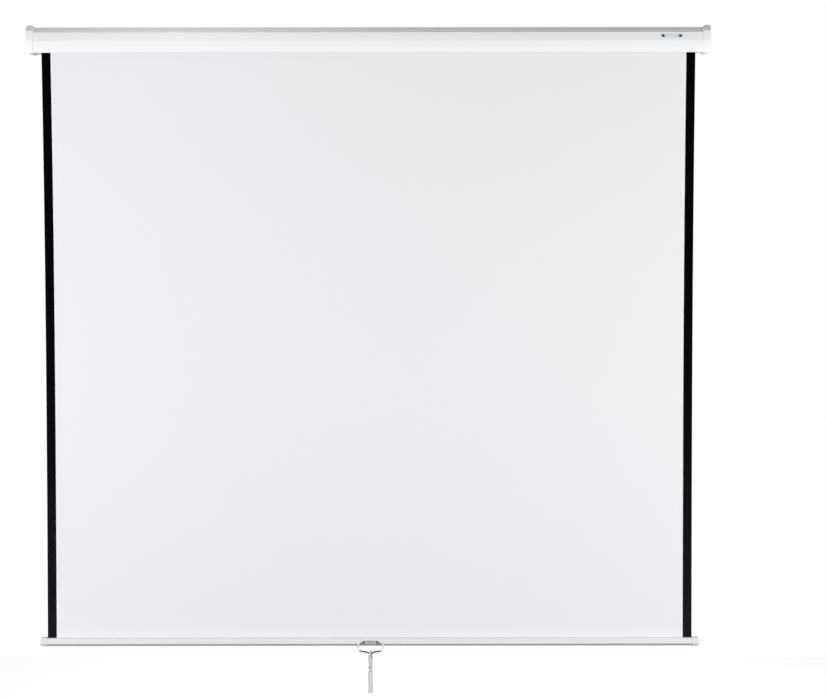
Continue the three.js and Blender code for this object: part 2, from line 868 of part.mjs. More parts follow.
// The bail's half outline in its own plane, as distances out and down from the pivot
function bailCurve() {
  const half = [
    [bailEnd, 0],
    [(bailEnd + bailHalfWidth) / 2, 0],
    [bailHalfWidth - bailWire / 2, 0],
    [bailHalfWidth, bailWire / 2],
    [bailHalfWidth, bailArmDrop],
    [bailKneeWidth, bailKneeDrop],
    [bailHipWidth, bailHipDrop],
    [bailThighWidth, bailThighDrop],
    [bailCalfWidth, bailCalfDrop],
    [bailSaddleWidth, bailDip],
  ];
  const right = half.map(([out, down]) => new THREE.Vector3(out, bailY, bailZ - down));
  const left = right.map((point) => point.clone().setX(-point.x)).reverse();
  const middle = new THREE.Vector3(0, bailY, bailZ - bailDip);
  return new THREE.CatmullRomCurve3([...right, middle, ...left], false, "centripetal");
}

// Blank plate: a group on the case's upper front face, whose local Z points out of that face

function badge() {
  const plate = new THREE.Group();
  const [top, foot] = [new THREE.Vector2(...shoulder), new THREE.Vector2(...ridge)];
  const middle = top.clone().lerp(foot, badgeUpShare);
  const slope = top.clone().sub(foot);
  plate.position.set(capRim - badgeFromEnd, middle.x, middle.y);
  plate.rotation.x = Math.atan2(slope.y, slope.x);
  const [halfLength, halfHeight] = [badgeLength / 2, badgeHeight / 2];
  const lozenge = [
    [-halfLength, 0, fit],
    [-halfLength + halfHeight, -halfHeight, halfHeight / 2],
    [halfLength - halfHeight, -halfHeight, halfHeight / 2],
    [halfLength, 0, fit],
    [halfLength - halfHeight, halfHeight, halfHeight / 2],
    [-halfLength + halfHeight, halfHeight, halfHeight / 2],
  ];
  const sheet = extruded(outline(lozenge), badgeThickness, cornerSegments).translate(0, 0, fit);
  add("name_plate", sheet, paint.zinc, plate);
  for (const [side, end] of [["left", -1], ["right", 1]]) {
    const stud = domedStud(badgeRivetRadius, badgeRivetHeight);
    stud.translate((end * badgeRivetSpacing) / 2, 0, fit + badgeThickness + fit);
    add(`plate_rivet_${side}`, stud, paint.black, plate);
  }
  return plate;
}

// A low domed head that stands on Z = 0
function domedStud(radius, height) {
  const points = [
    [0, 0],
    [radius, 0],
    [radius, height / 2],
    [radius / 2, height],
    [0, height],
  ].map(([r, z]) => new THREE.Vector2(r, z));
  return new THREE.LatheGeometry(points, smallSegments).rotateX(Math.PI / 2);
}

// Pull cord: hand-chosen points out from the bail's lowest point, as [across, towards the wall, up]
// The front leg runs straight down through the knot, and the back leg winds once round it.

const frontLegPoints = [
  [0, -0.4, 5.6],
  [0, -1.8, 5.5],
  [-0.5, -4.4, 4],
  [-1.3, -5.8, 0],
  [-2.4, -5.8, -5.5],
  [-3.2, -4.4, -11.5],
  [-3.5, -2, -18.5],
  [-3.4, 0, -26],
  [-2.4, 2.4, -29.5],
  [0, 3.4, -32.8],
  [2.4, 2.4, -36],
  [3.3, 0, -39.3],
  [2.4, -2.4, -42.6],
  [0, -3.4, -45.8],
  [-2.4, -2.4, -49.1],
  [-3.4, 0, -52.5],
  [-3.5, 0.4, -58],
  [-3.4, 0.3, -64.5],
  [-3.3, 0.3, -71.5],
  [-3.3, 0.4, -81],
  [-3.3, 0, -91],
  [-3.5, -0.4, -101],
  [-3.6, -0.5, -112],
];
const backLegPoints = [
  [0, 0.4, 5.6],
  [0, 1.8, 5.5],
  [0.5, 4.4, 4],
  [1.3, 5.8, 0],
  [2.4, 5.8, -5.5],
  [3.2, 4.4, -11.5],
  [3.5, 2, -18.5],
  [3.4, 0, -26],
  [2.4, -2.4, -29.5],
  [0, -3.4, -32.8],
  [-2.6, -2.4, -36],
  [-3.9, 0, -39.3],
  [-2.6, 2.4, -42.6],
  [0, 3.4, -45.8],
  [2.4, 2.4, -49.1],
  [3.4, 0, -52.5],
  [3.5, -0.4, -58],
  [3.4, -0.3, -64.5],
  [3.3, -0.2, -71.5],
  [3.3, -0.4, -81],
  [3.4, 0, -91],
  [3.3, 0.4, -101],
  [3.5, 0.3, -113.5],
];

function cordCurve(points) {
  const low = bailZ - bailDip;
  const places = points.map(([x, y, z]) => new THREE.Vector3(handleShift + x, bailY + y, low + z));
  return new THREE.CatmullRomCurve3(places, false, "centripetal");
}

// The least gap between the legs below the bail's wire
function leastGap(first, second, diameter) {
  const below = bailZ - bailDip - bailWire;
  const [ours, theirs] = [first, second].map((curve) =>
    curve.getSpacedPoints(cordSteps * smallSegments).filter((point) => point.z < below),
  );
  const gaps = ours.map((here) => Math.min(...theirs.map((there) => here.distanceTo(there))));
  return Math.min(...gaps) - diameter;
}

// Assembly

add("case_shell", caseShell(), paint.white);
addPair("end_cap", endCap(), paint.moulded);
portPlaces().forEach(([y, z], i) => addPair(`cap_screw_${i + 1}`, capScrew(y, z), paint.zinc));
add("bearing_plate_left", mirrored(bearingPlate(tangHole())), paint.zinc);
const bushHole = rodAlongX(rollerY, rollerZ, bushRadius + fit, plateFace - overrun, plateFace + overrun);
add("bearing_plate_right", bearingPlate(bushHole), paint.zinc);
add("idle_bush", bush(), paint.nylon);
screen.add(badge());

add("roller_tube", rollerTube(), paint.steel);
add("ferrule", mirrored(endPlug()), paint.nylon);
add("idle_plug", endPlug(), paint.nylon);
add("gudgeon_pin", gudgeonPin(), paint.steel);
add("wound_fabric", woundFabric(), paint.cloth);
add("ratchet_spindle", ratchetSpindle(), paint.zinc);
add("arbor_rod", arborRod(), paint.steel);
add("roller_spring", springCoil(), paint.steel);
add("spring_plug", springPlug(), paint.nylon);
add("pawl", pawl(), paint.zinc);
add("pawl_pin", pawlPost(), paint.steel);

const clothEdge = fabricWidth / 2;
add("screen_sheet", hangingCloth(maskWidth - clothEdge, clothEdge - maskWidth), paint.cloth);
add("mask_band_left", hangingCloth(-clothEdge, maskWidth - clothEdge), paint.mask);
add("mask_band_right", hangingCloth(clothEdge - maskWidth, clothEdge), paint.mask);

add("bar_tube", barTube(), paint.white);
add("hem_rod", rodAlongX(fabricPlane, hemCentre, hemRodRadius, -barLength / 2, barLength / 2), paint.steel);
addPair("bar_cap", barCap(), paint.moulded);
add("handle_saddle", saddle().translate(handleShift, 0, 0), paint.dark);
rivetPlaces().forEach((x) => {
  add(x < 0 ? "saddle_rivet_left" : "saddle_rivet_right", saddleRivet(x + handleShift), paint.steel);
});
const wire = tubeAlong(bailCurve(), bailWire / 2, smallSegments, bailSegments);
add("bail", wire.translate(handleShift, 0, 0), paint.chrome);

const [frontLeg, backLeg] = [cordCurve(frontLegPoints), cordCurve(backLegPoints)];
add("pull_cord_front", tubeAlong(frontLeg, cordDiameter / 2, cordSides, cordSteps), paint.cord);
add("pull_cord_back", tubeAlong(backLeg, cordDiameter / 2, cordSides, cordSteps), paint.cord);
console.log("least gap between the cord's legs:", leastGap(frontLeg, backLeg, cordDiameter).toFixed(2), "mm");
console.log("least gap between the spring's turns:", (springPitch - springWire).toFixed(2), "mm");
console.log("cord legs:", frontLeg.getLength().toFixed(1), "and", backLeg.getLength().toFixed(1), "mm");

export default screen;
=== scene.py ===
"""The looks of a wall-hung projection screen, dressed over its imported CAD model.

Lengths are in metres. +X runs along the case, +Z is up and the front faces -Y. The origin is the middle of
the case's flat back.
"""

import json
import math

import bmesh
import bpy
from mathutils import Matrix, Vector


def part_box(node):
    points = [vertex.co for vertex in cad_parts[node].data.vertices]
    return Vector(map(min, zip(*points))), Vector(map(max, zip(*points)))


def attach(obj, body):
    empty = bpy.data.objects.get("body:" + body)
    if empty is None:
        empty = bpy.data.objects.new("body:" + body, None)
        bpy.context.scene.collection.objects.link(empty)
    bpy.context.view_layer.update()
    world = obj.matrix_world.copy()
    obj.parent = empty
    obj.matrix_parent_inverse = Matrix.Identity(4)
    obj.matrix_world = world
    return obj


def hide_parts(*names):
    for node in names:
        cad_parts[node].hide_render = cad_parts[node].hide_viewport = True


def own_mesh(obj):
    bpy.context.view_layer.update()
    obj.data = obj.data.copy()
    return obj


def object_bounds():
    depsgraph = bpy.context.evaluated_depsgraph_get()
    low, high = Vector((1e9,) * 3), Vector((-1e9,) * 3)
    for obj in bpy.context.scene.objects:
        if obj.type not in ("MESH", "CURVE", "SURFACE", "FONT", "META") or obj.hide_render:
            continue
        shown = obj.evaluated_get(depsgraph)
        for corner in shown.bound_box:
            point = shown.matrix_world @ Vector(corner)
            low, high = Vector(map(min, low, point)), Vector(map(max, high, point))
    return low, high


# Camera, at the photograph's distance and tilt
CAMERA_PLACE = (0.1222, -5.046, -0.597)
CAMERA_TILT_DOWN = math.radians(2.942)
CAMERA_ROLL = math.radians(0.059)
CAMERA_LENS_MM = 78.66

# Light: each lamp's share is how white it makes a white surface that faces it at its aim
AMBIENT = 0.19
SIDE_PLACE = (2.55, -3.14, -0.82)
SIDE_AIM = (0.77, -0.05, -0.82)
SIDE_SIZE = (0.6, 1.9)
LEFT_SHARE = 0.66
RIGHT_SHARE = 0.66
TOP_PLACE = (-0.565, -0.14, 0.6)
TOP_AIM = (-0.28, -0.03, 0.04)
TOP_SIZE = (0.9, 0.5)
TOP_SHARE = 0.333
BACK_PLACE = (0.4, 3.4, -0.3)
BACK_AIM = (0.0, 0.0, -0.8)
BACK_SIZE = (2.4, 1.6)
BACK_SHARE = 0.5

# Floor: the screen hangs with its bar well above it, and the glow lifts what is seen of it to white
FLOOR_HEIGHT = -2.4
FLOOR_HALF_WIDTH = 4.0
FLOOR_FRONT = -2.6
FLOOR_BACK = 3.0
FLOOR_GLOW = 0.78

# Finish of rigid pieces: what counts as one point, one face and one curve, and the widths of rounded edges
SAME_POINT = 2e-6
SAME_FACE = math.radians(0.5)
SHARP_EDGE = math.radians(34)
EDGE_STEPS = 3
FINE_EDGE = 0.0002
SMALL_EDGE = 0.0003
EXTRUDED_EDGE = 0.00035
PRESSED_EDGE = 0.00025
CAP_EDGE = 0.0007
BAR_CAP_EDGE = 0.0006

# Cloth
CLOTH_HALF_WIDTH = 0.9
MASK_WIDTH = 0.025
CLOTH_THICKNESS = 0.0005
CLOTH_COLUMNS = 48
CLOTH_ROWS = 72
WAIST_LEFT = 0.0041
WAIST_RIGHT = 0.0028
WAIST_SKEW = 0.85
BAND_COLUMNS = 3
CLOTH_SHARP_EDGE = math.radians(40)

# Ripples: their height, their share at the cloth's middle, and each wave's share, crossing, lean and start
RIPPLE = 0.0011
RIPPLE_IN_MIDDLE = 0.25
RIPPLE_WAVES = ((1.0, 9.5, 0.8, 0.0), (0.45, 23, -2.1, 0.7))

# Cloth left on the roller
TURNS_ON_ROLLER = 1.75
TURN_PITCH = 0.0008
ROLL_STEPS_PER_TURN = 64

# Cloth's looks: its weave, where X + Z starts and ends the painted shade of its upper right, and how low the
# dust and painted reflection at its foot gather
WEAVE_PITCH = 0.0011
SHADE_FROM = -1.1
SHADE_TO = 0.6
DUST_AND_REFLECTION_POWER = 4.0

# Dust and painted shade on the case's up-facing faces: how far up a face has to look for the first of it, and
# for all of it
DUST_AND_SHADE_FIRST = 0.25
DUST_AND_SHADE_FULL = 0.7

# Bottom bar: where the painted shade on its undercut foot ends and the unshaded coat of its flat front starts
PAINTED_SHADE_TOP = -1.6768
UNSHADED_FROM = -1.6758

# Spring in the roller
SPRING_RADIUS = 0.008
SPRING_WIRE = 0.0016
SPRING_TURNS = 34
SPRING_STEPS_PER_TURN = 16
SPRING_SIDES = 8

# Handle: its middle along the bar, half of its raised panel with its painted highlight, and where the bail's
# wire turns from dark to bright
HANDLE_MIDDLE = 0.0025
PANEL_HALF = 0.0165
PANEL_BLUR = 0.001
WIRE_DARK_BELOW = -1.6963
WIRE_BRIGHT_ABOVE = -1.6915

# Bail and cord: the points of the source's curves
TUBE_SIDES = 20
TUBE_SHARP_EDGE = math.radians(50)
BAIL_STEPS = 10
CORD_STEPS = 8
BAIL_WIRE = 0.0045
BAIL_HALF = (
    (0.019, 0.0),
    (0.02635, 0.0),
    (0.03145, 0.0),
    (0.0337, 0.00225),
    (0.0337, 0.0125),
    (0.0306, 0.019),
    (0.024, 0.0218),
    (0.0125, 0.0233),
    (0.007, 0.0257),
    (0.003, 0.0275),
)
BAIL_DIP = 0.0275
CORD_DIAMETER = 0.006
FRONT_LEG = (
    (0, -0.0004, 0.0056),
    (0, -0.0018, 0.0055),
    (-0.0005, -0.0044, 0.004),
    (-0.0013, -0.0058, 0),
    (-0.0024, -0.0058, -0.0055),
    (-0.0032, -0.0044, -0.0115),
    (-0.0035, -0.002, -0.0185),
    (-0.0034, 0, -0.026),
    (-0.0024, 0.0024, -0.0295),
    (0, 0.0034, -0.0328),
    (0.0024, 0.0024, -0.036),
    (0.0033, 0, -0.0393),
    (0.0024, -0.0024, -0.0426),
    (0, -0.0034, -0.0458),
    (-0.0024, -0.0024, -0.0491),
    (-0.0034, 0, -0.0525),
    (-0.0035, 0.0004, -0.058),
    (-0.0034, 0.0003, -0.0645),
    (-0.0033, 0.0003, -0.0715),
    (-0.0033, 0.0004, -0.081),
    (-0.0033, 0, -0.091),
    (-0.0035, -0.0004, -0.101),
    (-0.0036, -0.0005, -0.112),
)
BACK_LEG = (
    (0, 0.0004, 0.0056),
    (0, 0.0018, 0.0055),
    (0.0005, 0.0044, 0.004),
    (0.0013, 0.0058, 0),
    (0.0024, 0.0058, -0.0055),
    (0.0032, 0.0044, -0.0115),
    (0.0035, 0.002, -0.0185),
    (0.0034, 0, -0.026),
    (0.0024, -0.0024, -0.0295),
    (0, -0.0034, -0.0328),
    (-0.0026, -0.0024, -0.036),
    (-0.0039, 0, -0.0393),
    (-0.0026, 0.0024, -0.0426),
    (0, 0.0034, -0.0458),
    (0.0024, 0.0024, -0.0491),
    (0.0034, 0, -0.0525),
    (0.0035, -0.0004, -0.058),
    (0.0034, -0.0003, -0.0645),
    (0.0033, -0.0002, -0.0715),
    (0.0033, -0.0004, -0.081),
    (0.0034, 0, -0.091),
    (0.0033, 0.0004, -0.101),
    (0.0035, 0.0003, -0.1135),
)

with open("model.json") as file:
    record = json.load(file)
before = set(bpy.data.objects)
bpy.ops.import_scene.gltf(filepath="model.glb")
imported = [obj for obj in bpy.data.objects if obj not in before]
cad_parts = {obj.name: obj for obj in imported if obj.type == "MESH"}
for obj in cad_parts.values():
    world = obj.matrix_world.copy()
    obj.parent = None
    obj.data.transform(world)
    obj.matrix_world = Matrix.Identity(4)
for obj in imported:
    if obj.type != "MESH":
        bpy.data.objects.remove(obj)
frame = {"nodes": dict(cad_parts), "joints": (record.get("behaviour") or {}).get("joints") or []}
cad_low, cad_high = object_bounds()
scene = bpy.context.scene
scene.view_settings.view_transform = "Standard"


# Camera, light and floor


def add_camera():
    data = bpy.data.cameras.new("camera")
    data.lens = CAMERA_LENS_MM
    data.sensor_width = 36.0
    data.sensor_fit = "HORIZONTAL"
    camera = bpy.data.objects.new("camera", data)
    camera.location = CAMERA_PLACE
    camera.rotation_euler = (math.pi / 2 - CAMERA_TILT_DOWN, CAMERA_ROLL, 0)
    scene.collection.objects.link(camera)
    scene.camera = camera


def seen_rays(nodes, links):
    """1 for what the camera sees, also in gloss and glass, and 0 for the light that falls on things."""
    path = nodes.new("ShaderNodeLightPath")
    seen = path.outputs["Is Camera Ray"]
    for kind in ("Is Glossy Ray", "Is Transmission Ray"):
        either = nodes.new("ShaderNodeMath")
        either.operation = "MAXIMUM"
        links.new(seen, either.inputs[0])
        links.new(path.outputs[kind], either.inputs[1])
        seen = either.outputs[0]
    return seen


def add_world():
    world = bpy.data.worlds.new("studio")
    world.use_nodes = True
    nodes, links = world.node_tree.nodes, world.node_tree.links
    nodes.clear()
    plain = nodes.new("ShaderNodeBackground")
    plain.inputs["Strength"].default_value = AMBIENT
    seen = nodes.new("ShaderNodeBackground")
    seen.inputs["Strength"].default_value = 1.0
    for background in (plain, seen):
        background.inputs["Color"].default_value = (1, 1, 1, 1)
    mix = nodes.new("ShaderNodeMixShader")
    links.new(seen_rays(nodes, links), mix.inputs[0])
    links.new(plain.outputs[0], mix.inputs[1])
    links.new(seen.outputs[0], mix.inputs[2])
    output = nodes.new("ShaderNodeOutputWorld")
    links.new(mix.outputs[0], output.inputs["Surface"])
    scene.world = world


def mirrored(place):
    return (-place[0], *place[1:])


def add_lamp(name, place, aim, size, share):
    """A soft rectangular lamp."""
    way = Vector(aim) - Vector(place)
    data = bpy.data.lights.new(name, "AREA")
    data.shape = "RECTANGLE"
    data.size, data.size_y = size
    data.energy = share * math.pi**2 * way.length_squared
    lamp = bpy.data.objects.new(name, data)
    lamp.location = place
    lamp.rotation_euler = way.to_track_quat("-Z", "Y").to_euler()
    lamp.visible_camera = False
    scene.collection.objects.link(lamp)


def add_floor():
    corners = [
        (-FLOOR_HALF_WIDTH, FLOOR_FRONT, FLOOR_HEIGHT),
        (FLOOR_HALF_WIDTH, FLOOR_FRONT, FLOOR_HEIGHT),
        (FLOOR_HALF_WIDTH, FLOOR_BACK, FLOOR_HEIGHT),
        (-FLOOR_HALF_WIDTH, FLOOR_BACK, FLOOR_HEIGHT),
    ]
    floor = mesh_object("floor", corners, [(0, 1, 2, 3)])
    floor.data.materials.append(looks["floor"])


# Materials


def srgb(red, green, blue):
    """A colour read as 0 to 255 on the screen, as the linear values that a shader takes."""

    def linear(value):
        share = value / 255
        return share / 12.92 if share <= 0.04045 else ((share + 0.055) / 1.055) ** 2.4

    return (linear(red), linear(green), linear(blue), 1.0)


class Look:
    """A procedural material, built one node at a time."""

    def __init__(self, name, roughness, metallic=0.0, **constants):
        self.material = bpy.data.materials.new(name)
        self.material.use_nodes = True
        self.nodes = self.material.node_tree.nodes
        self.links = self.material.node_tree.links
        self.shader = self.nodes["Principled BSDF"]
        self.shader.inputs["Roughness"].default_value = roughness
        self.shader.inputs["Metallic"].default_value = metallic
        for socket, value in constants.items():
            self.shader.inputs[socket.replace("_", " ")].default_value = value
        self.place = self.nodes.new("ShaderNodeTexCoord").outputs["Object"]

    def node(self, kind, settings=(), **inputs):
        """A new node with its settings, and its inputs by name, or by number as i0, i1 and so on."""
        made = self.nodes.new(kind)
        for key, value in dict(settings).items():
            setattr(made, key, value)
        for key, value in inputs.items():
            socket = made.inputs[int(key[1:])] if key[0] == "i" and key[1:].isdigit() else made.inputs[key]
            if isinstance(value, bpy.types.NodeSocket):
                self.links.new(value, socket)
            else:
                socket.default_value = value
        return made

    def math(self, operation, first, second=0.0):
        return self.node("ShaderNodeMath", {"operation": operation}, i0=first, i1=second).outputs[0]

    def coordinate(self, axis):
        """The object's own X, Y or Z, by its number."""
        return self.node("ShaderNodeSeparateXYZ", Vector=self.place).outputs[axis]

    def stretched(self, x, y, z):
        """The object's own place, with each direction scaled."""
        return self.node("ShaderNodeMapping", Vector=self.place, Scale=(x, y, z)).outputs[0]

    def noise(self, scale, detail=3.0, vector=None):
        made = self.node("ShaderNodeTexNoise", Vector=vector or self.place, Scale=scale, Detail=detail)
        return made.outputs["Fac"]

    def between(self, share, low, high):
        """The share, spread from low to high."""
        return self.node("ShaderNodeMapRange", Value=share, **{"To Min": low, "To Max": high}).outputs[0]

    def rise(self, value, start, end):
        """0 where the value is at start, and 1 where it is at end."""
        return self.node("ShaderNodeMapRange", Value=value, **{"From Min": start, "From Max": end}).outputs[0]

    def blend(self, share, first, second):
        mix = self.node("ShaderNodeMix", {"data_type": "RGBA"}, i0=share, i6=first, i7=second)
        return mix.outputs[2]

    def tone(self, base, spread, scale, detail=2.0):
        """The base colour, a little darker and lighter in soft patches."""
        dark = [channel * (1 - spread) for channel in base[:3]] + [1.0]
        light = [min(channel * (1 + spread), 1.0) for channel in base[:3]] + [1.0]
        return self.blend(self.noise(scale, detail), dark, light)

    def colour(self, value):
        self.links.new(value, self.shader.inputs["Base Color"])

    def roughness(self, value):
        self.links.new(value, self.shader.inputs["Roughness"])

    def bump(self, height, depth, strength):
        made = self.node("ShaderNodeBump", Height=height, Distance=depth, Strength=strength)
        self.links.new(made.outputs["Normal"], self.shader.inputs["Normal"])

    def orange_peel(self):
        self.bump(self.noise(650, 2.0), 0.00006, 0.5)


def painted_look():
    """Satin white powder coat: soft orange peel, faint changes of tone, and dust with painted shade on what
    faces up.
    """
    look = Look("case_paint", 0.42, Specular_IOR_Level=0.3)
    facing = look.node("ShaderNodeNewGeometry").outputs["Normal"]
    upward = look.node("ShaderNodeSeparateXYZ", Vector=facing).outputs[2]
    unshaded = look.tone(srgb(242, 245, 248), 0.008, 2.2)
    dust_and_shade = look.tone(srgb(239, 239, 238), 0.012, 40)
    # dust and painted shade: faces that look up turn greyer and a little darker
    look.colour(look.blend(look.rise(upward, DUST_AND_SHADE_FIRST, DUST_AND_SHADE_FULL), unshaded, dust_and_shade))
    look.roughness(look.between(look.noise(90, 3.0), 0.36, 0.5))
    look.orange_peel()
    return look.material


def bar_look():
    """The bar's satin coat: the case's coat with painted shade, a little greyer all over and darker on its
    undercut foot.
    """
    look = Look("bar_paint_shaded", 0.45, Specular_IOR_Level=0.25)
    # painted shade: the foot below the flat front is darkened in its colour
    unshaded = look.rise(look.coordinate(2), PAINTED_SHADE_TOP, UNSHADED_FROM)
    # painted shade: the same white coat as the case's, made a little greyer
    coat = look.tone(srgb(229, 232, 235), 0.008, 2.2)
    painted_shade = look.tone(srgb(176, 179, 182), 0.05, 60)
    look.colour(look.blend(unshaded, painted_shade, coat))
    look.roughness(look.between(look.noise(90, 3.0), 0.38, 0.54))
    look.orange_peel()
    return look.material


def moulded_look(name, colour):
    """Moulded plastic: a fine spark-eroded grain."""
    look = Look(name, 0.55, Specular_IOR_Level=0.18)
    grain = look.math("ADD", look.noise(1800, 2.0), look.math("MULTIPLY", look.noise(420, 2.0), 0.6))
    look.colour(look.tone(colour, 0.012, 30))
    look.roughness(look.between(look.noise(260, 2.0), 0.44, 0.6))
    look.bump(grain, 0.00005, 0.45)
    return look.material


def weave_height(look):
    """Over-and-under threads in the cloth's plane, X across and Z down."""
    threads = look.stretched(1 / WEAVE_PITCH, 1, 1 / WEAVE_PITCH)
    split = look.node("ShaderNodeSeparateXYZ", Vector=threads)
    warp = look.math("SINE", look.math("MULTIPLY", split.outputs[0], math.tau))
    weft = look.math("SINE", look.math("MULTIPLY", split.outputs[2], math.tau))
    return look.math("MULTIPLY", warp, weft)


def cloth_look(name, colour, roughness, spread, gloss, upper_right_shade=None, dust_and_reflection=None):
    """Coated cloth: the weave shows faintly, painted shade greys its upper right, and its foot turns lighter
    with dust and a painted reflection of the floor.
    """
    look = Look(name, roughness, Specular_IOR_Level=gloss)
    weave = look.between(weave_height(look), 0.42, 0.58)
    slub = look.noise(240, 3.0, look.stretched(1, 1, 0.12))
    height = look.math("ADD", weave, look.math("MULTIPLY", slub, 0.35))
    soft = look.tone(colour, spread, 1.6, 1.0)
    if upper_right_shade:
        # painted shade: the upper right turns a little darker and less blue
        corner = look.math("ADD", look.coordinate(0), look.coordinate(2))
        shaded = look.rise(corner, SHADE_FROM, SHADE_TO)
        soft = look.blend(shaded, soft, look.tone(upper_right_shade, spread, 1.6, 1.0))
    if dust_and_reflection:
        # dust and painted reflection: the cloth turns lighter towards its foot
        way_down = look.rise(look.coordinate(2), cad_high.z, cad_low.z)
        dust_and_reflection_share = look.math("POWER", way_down, DUST_AND_REFLECTION_POWER)
        soft = look.blend(dust_and_reflection_share, soft, look.tone(dust_and_reflection, spread, 1.6, 1.0))
    grey = [channel * 0.985 for channel in colour[:3]] + [1.0]
    look.colour(look.blend(look.math("MULTIPLY", slub, 0.35), soft, grey))
    look.roughness(look.between(look.noise(140, 2.0), roughness - 0.05, roughness + 0.05))
    look.bump(height, 0.00009, 0.5)
    return look.material


def brushed_look(name, colour, roughness, metallic):
    """Metal with fine lines along X."""
    look = Look(name, roughness, metallic)
    lines = look.noise(2600, 3.0, look.stretched(0.03, 1, 1))
    look.colour(look.tone(colour, 0.06, 60))
    look.roughness(look.between(lines, roughness - 0.08, roughness + 0.1))
    look.bump(lines, 0.00002, 0.4)
    return look.material


def zinc_look():
    """Zinc plate: a fine crystal mottle."""
    look = Look("zinc_plate", 0.36, 0.95)
    cells = look.node("ShaderNodeTexVoronoi", Vector=look.place, Scale=420.0)
    look.colour(look.blend(cells.outputs["Distance"], srgb(196, 200, 203), srgb(168, 173, 178)))
    look.roughness(look.between(look.noise(300, 3.0), 0.26, 0.46))
    look.bump(look.noise(900, 2.0), 0.00002, 0.4)
    return look.material


def wire_look():
    """Bright drawn wire, darker towards the bottom of the bail."""
    look = Look("bright_wire", 0.28, 1.0)
    # darker towards the bottom of the bail
    bright = look.rise(look.coordinate(2), WIRE_DARK_BELOW, WIRE_BRIGHT_ABOVE)
    dark_to_bright = look.math("ADD", bright, look.between(look.noise(260, 3.0), -0.12, 0.12))
    share = look.node("ShaderNodeClamp", Value=dark_to_bright).outputs[0]
    look.colour(look.blend(share, srgb(62, 65, 68), srgb(200, 202, 205)))
    look.roughness(look.between(share, 0.36, 0.26))
    lines = look.noise(1800, 3.0, look.stretched(1, 1, 0.08))
    look.bump(lines, 0.00001, 0.3)
    return look.material


def dark_look():
    """Dark grey satin coat on pressed steel, lightened on the raised panel by a painted highlight, and rubbed
    lighter on edges.
    """
    look = Look("dark_coat", 0.4, 0.35, Specular_IOR_Level=0.5)
    edge = look.rise(look.node("ShaderNodeNewGeometry").outputs["Pointiness"], 0.5, 0.56)
    from_middle = look.math("ABSOLUTE", look.math("SUBTRACT", look.coordinate(0), HANDLE_MIDDLE))
    # painted highlight: the raised panel is lighter than the coat at its knuckle ends
    panel = look.rise(from_middle, PANEL_HALF + PANEL_BLUR, PANEL_HALF - PANEL_BLUR)
    coat = look.tone(srgb(80, 83, 86), 0.12, 150)
    base = look.blend(panel, coat, look.tone(srgb(149, 153, 156), 0.24, 150))
    look.colour(look.blend(look.math("MULTIPLY", edge, 0.5), base, srgb(182, 185, 188)))
    look.roughness(look.between(look.noise(400, 3.0), 0.34, 0.5))
    look.bump(look.noise(1400, 2.0), 0.00003, 0.4)
    return look.material


def plain_look(name, colour, roughness, grain):
    """Moulded nylon or black plastic: a fine grain and a faint mottle."""
    look = Look(name, roughness)
    look.colour(look.tone(colour, 0.04, 80))
    look.roughness(look.between(look.noise(300, 2.0), roughness - 0.06, roughness + 0.08))
    look.bump(look.noise(grain, 2.0), 0.00003, 0.4)
    return look.material


def cord_look():
    """A braid: strands that cross round the cord, from the tube's own UV, across and along."""
    look = Look("braided_cord", 0.8, Sheen_Weight=0.25, Sheen_Roughness=0.5, Specular_IOR_Level=0.25)
    laid = look.node("ShaderNodeTexCoord").outputs["UV"]
    split = look.node("ShaderNodeSeparateXYZ", Vector=laid)
    round_it, along = split.outputs[0], split.outputs[1]
    strands, rise = 6.0, 620.0
    turn = look.math("MULTIPLY", round_it, math.tau * strands)
    step = look.math("MULTIPLY", along, rise)
    one_way = look.math("SINE", look.math("ADD", turn, step))
    other_way = look.math("SINE", look.math("SUBTRACT", turn, step))
    braid = look.between(look.math("MULTIPLY", one_way, other_way), 0.0, 1.0)
    look.colour(look.blend(braid, srgb(212, 213, 214), srgb(234, 235, 236)))
    fibres = look.noise(2200, 2.0)
    look.bump(look.math("ADD", braid, look.math("MULTIPLY", fibres, 0.3)), 0.00035, 0.8)
    return look.material


def floor_look():
    """Grey in the light that it throws back up, and lifted to white where it is seen, shadow and all."""
    look = Look("floor", 0.9, Specular_IOR_Level=0.1)
    look.colour(look.tone(srgb(168, 168, 168), 0.01, 1.5))
    strength = look.math("MULTIPLY", seen_rays(look.nodes, look.links), FLOOR_GLOW)
    glow = look.node("ShaderNodeEmission", Color=(1, 1, 1, 1), Strength=strength)
    both = look.node("ShaderNodeAddShader", i0=look.shader.outputs[0], i1=glow.outputs[0])
    look.links.new(both.outputs[0], look.nodes["Material Output"].inputs["Surface"])
    return look.material


